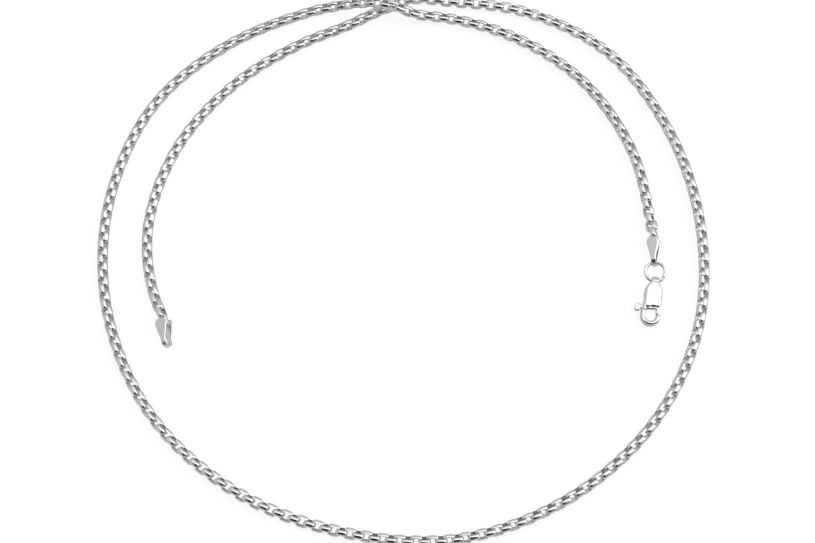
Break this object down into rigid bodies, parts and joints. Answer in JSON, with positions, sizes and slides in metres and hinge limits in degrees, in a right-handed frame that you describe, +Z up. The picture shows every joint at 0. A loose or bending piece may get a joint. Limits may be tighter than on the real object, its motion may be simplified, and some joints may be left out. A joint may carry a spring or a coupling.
{
  "type": "round box chain necklace",
  "caption": "Silver round box chain necklace with folded tags, a jump ring and a lobster clasp whose sprung lever opens, unclasped and laid flat.",
  "frame": {"origin": "under the middle of the necklace as it lies, on the surface that it lies on", "axes": "+X to the necklace's right in the picture, +Y to the side where the chain crosses itself, +Z up from the surface"},
  "size_m": [0.1085, 0.1037, 0.0044],
  "materials": {
    "chain_silver": "polished domed silver links, dulled in their recesses",
    "polished_silver": "polished silver"
  },
  "bodies": {
    "necklace": {"chain": "chain_silver", "end_tag": "polished_silver", "clasp_tag": "polished_silver", "jump_ring": "polished_silver", "clasp_body": "polished_silver", "clasp_pin": "polished_silver"},
    "lever": {"clasp_lever": "polished_silver"}
  },
  "joints": [
    {"name": "lever_hinge", "type": "hinge", "parent": "necklace", "child": "lever", "pos_m": [0.04441, -0.00964, 0.001], "axis": [0, 0, -1], "range_deg": [0, 30], "stiffness_Nm_per_rad": 0.003, "springref_deg": -8.59}
  ]
}
